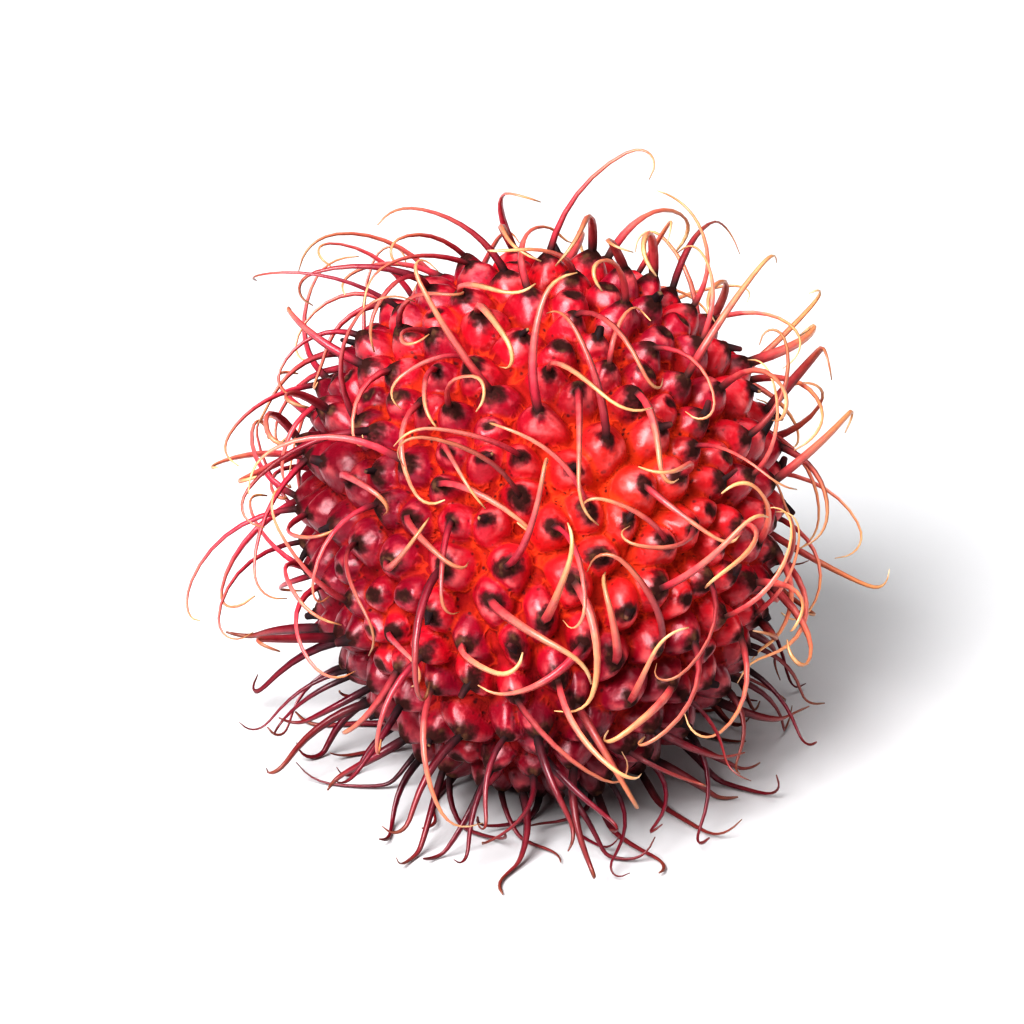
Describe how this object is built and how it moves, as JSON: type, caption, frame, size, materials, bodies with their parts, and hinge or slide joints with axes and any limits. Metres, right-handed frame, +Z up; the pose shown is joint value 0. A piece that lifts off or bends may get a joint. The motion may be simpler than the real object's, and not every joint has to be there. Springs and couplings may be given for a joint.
{
  "type": "rambutan",
  "caption": "Whole ripe rambutan, an oval fruit with a leathery rind of tubercles that each run out into a soft hooked hair.",
  "frame": {"origin": "the flat spot that the fruit rests on, at the middle of its lowest tubercle", "axes": "+Z up, -Z out of the flat resting spot; the long axis of the fruit lies in the YZ plane but for 4 degrees, apex to -Y and down, stalk end to +Y and up by 25 degrees; +X to the right as seen from the apex end"},
  "size_m": [0.0587, 0.0639, 0.0509],
  "materials": {
    "rind": "semi-gloss, scarlet to crimson, with pale pink-tipped hairs that are dark at the root",
    "stalk_scar": "dry, matt, tan"
  },
  "bodies": {
    "root": {"rind": "rind", "stalk_scar": "stalk_scar"}
  },
  "joints": []
}
